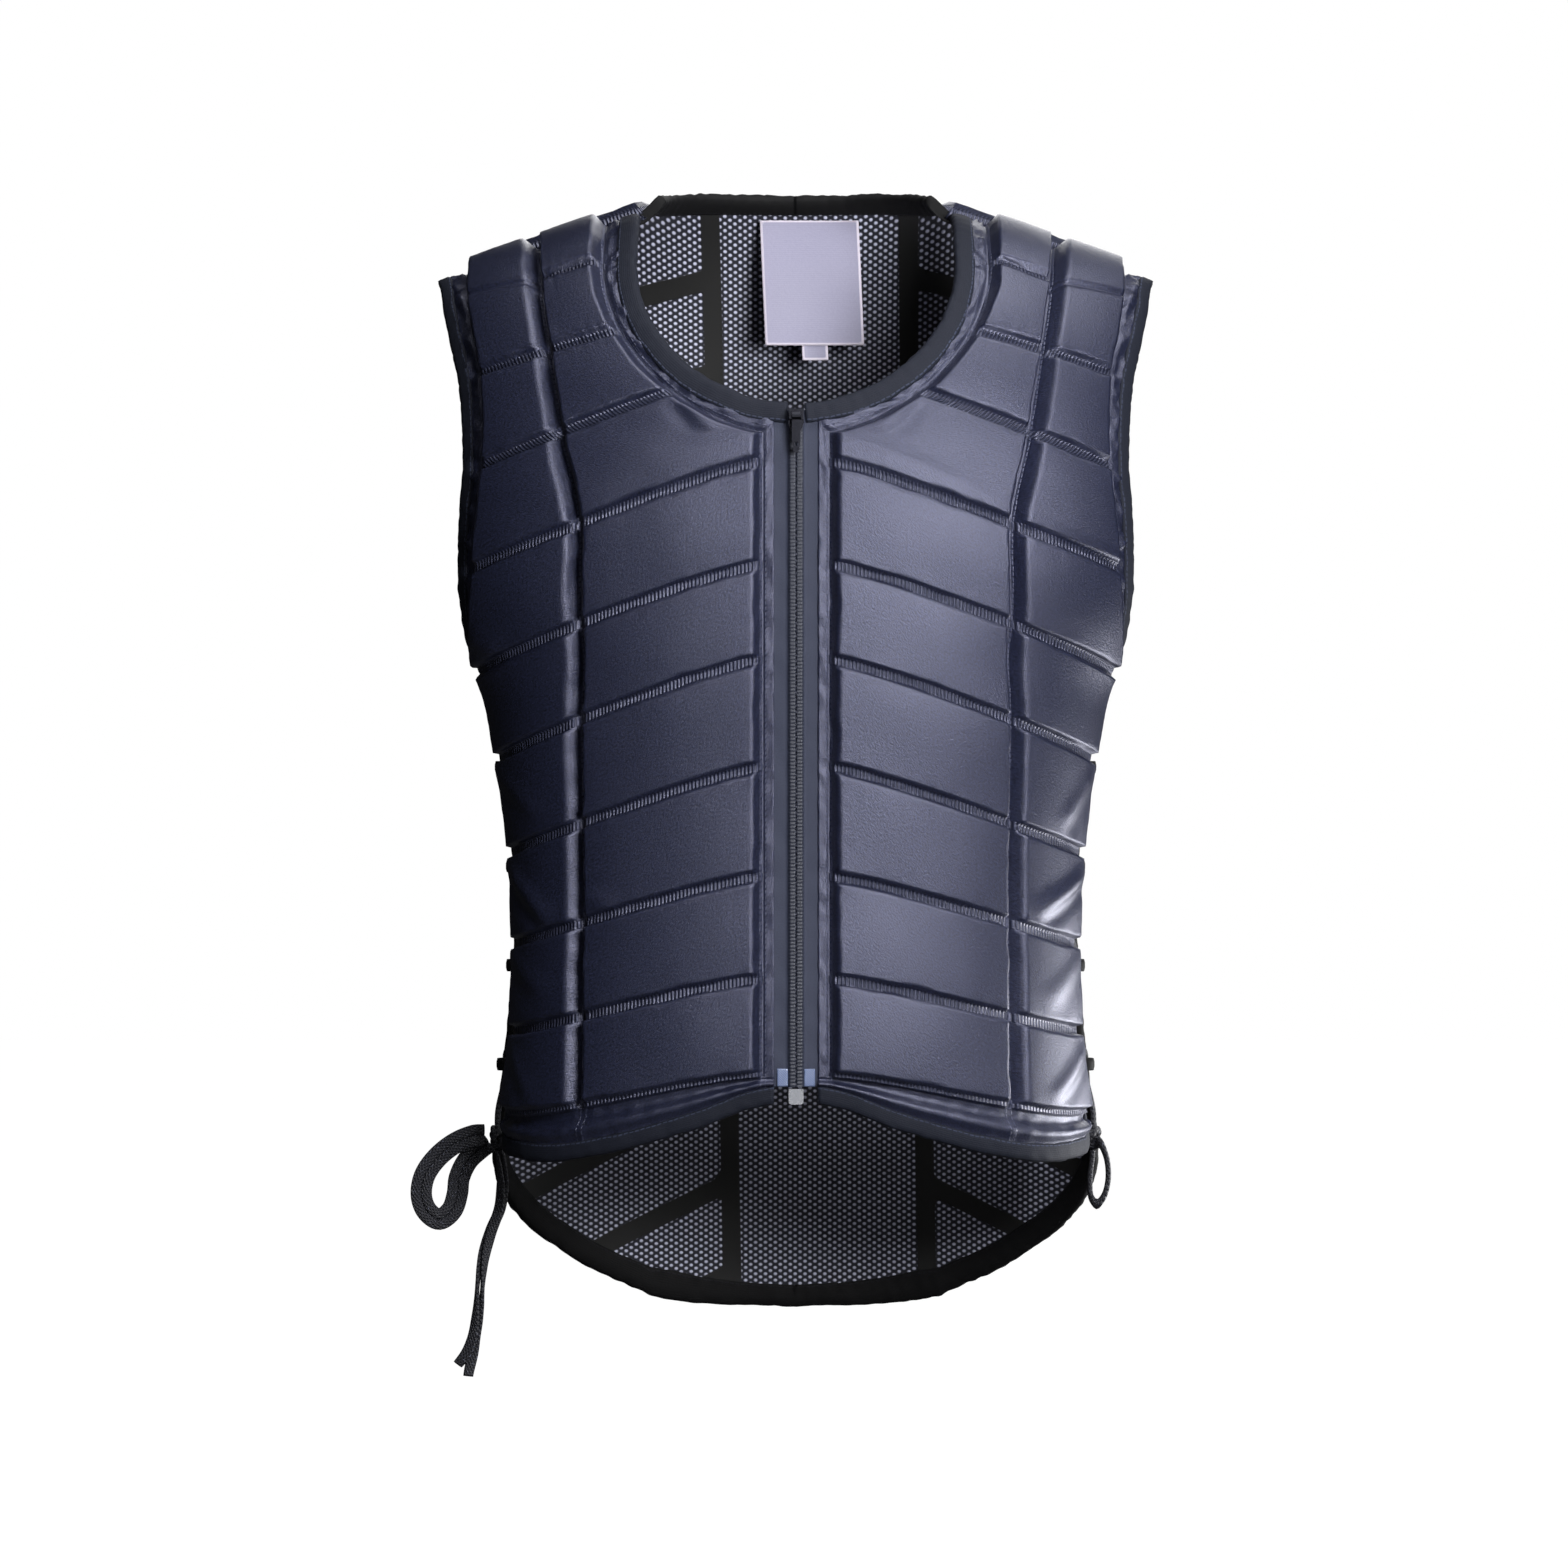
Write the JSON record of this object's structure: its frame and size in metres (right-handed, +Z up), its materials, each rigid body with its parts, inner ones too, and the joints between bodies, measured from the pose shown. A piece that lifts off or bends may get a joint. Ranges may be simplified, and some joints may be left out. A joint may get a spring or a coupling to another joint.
{
  "type": "equestrian body protector",
  "caption": "Sleeveless zip-front body protector vest of quilted foam blocks on cloth, with bound edges, laced open sides and a long back tail.",
  "frame": {"origin": "middle of the neck opening, at the height of the neck points of the shoulders, where the worn vest rests on the wearer", "axes": "+Z up, the front faces -Y, +X is the right side as seen from the front"},
  "size_m": [0.4168, 0.2282, 0.6735],
  "materials": {
    "body_cloth": "matt woven cloth",
    "foam_cloth": "soft matt cloth drawn over foam",
    "binding": "slate woven binding tape",
    "back_binding": "black woven binding tape",
    "zip_tape": "navy woven tape with a moulded coil",
    "dark_metal": "black lacquered zip metal",
    "bright_metal": "nickel",
    "label": "blank satin cloth",
    "lace": "flat black braid"
  },
  "bodies": {
    "vest": {"front_panel_left": "body_cloth", "front_panel_right": "body_cloth", "back_panel": "body_cloth", "pad_left_inner_01": "foam_cloth", "pad_left_inner_02": "foam_cloth", "pad_left_inner_03": "foam_cloth", "pad_left_inner_04": "foam_cloth", "pad_left_inner_05": "foam_cloth", "pad_left_inner_06": "foam_cloth", "pad_left_inner_07": "foam_cloth", "pad_left_inner_08": "foam_cloth", "pad_left_inner_09": "foam_cloth", "pad_left_inner_10": "foam_cloth", "pad_left_outer_02": "foam_cloth", "pad_left_outer_03": "foam_cloth", "pad_left_outer_04": "foam_cloth", "pad_left_outer_05": "foam_cloth", "pad_left_outer_06": "foam_cloth", "pad_left_outer_07": "foam_cloth", "pad_left_outer_08": "foam_cloth", "pad_left_outer_09": "foam_cloth", "pad_left_outer_10": "foam_cloth", "pad_right_inner_01": "foam_cloth", "pad_right_inner_02": "foam_cloth", "pad_right_inner_03": "foam_cloth", "pad_right_inner_04": "foam_cloth", "pad_right_inner_05": "foam_cloth", "pad_right_inner_06": "foam_cloth", "pad_right_inner_07": "foam_cloth", "pad_right_inner_08": "foam_cloth", "pad_right_inner_09": "foam_cloth", "pad_right_inner_10": "foam_cloth", "pad_right_outer_02": "foam_cloth", "pad_right_outer_03": "foam_cloth", "pad_right_outer_04": "foam_cloth", "pad_right_outer_05": "foam_cloth", "pad_right_outer_06": "foam_cloth", "pad_right_outer_07": "foam_cloth", "pad_right_outer_08": "foam_cloth", "pad_right_outer_09": "foam_cloth", "pad_right_outer_10": "foam_cloth", "back_pads": "foam_cloth", "neck_binding": "binding", "armhole_binding_left": "binding", "armhole_binding_right": "binding", "front_binding_left": "binding", "front_binding_right": "binding", "back_binding": "back_binding", "zip_half_left": "zip_tape", "zip_half_right": "zip_tape", "zip_slider": "dark_metal", "zip_box": "bright_metal", "neck_label": "label", "side_lace_left": "lace", "side_lace_right": "lace", "lace_loop_left": "lace", "lace_ends_left": "lace", "lace_loop_right": "lace"},
    "zip_puller": {"zip_puller": "dark_metal"}
  },
  "joints": [
    {"name": "puller_swing", "type": "hinge", "parent": "vest", "child": "zip_puller", "pos_m": [0, -0.1129, -0.122], "axis": [-1, 0, 0], "range_deg": [0, 150]}
  ]
}
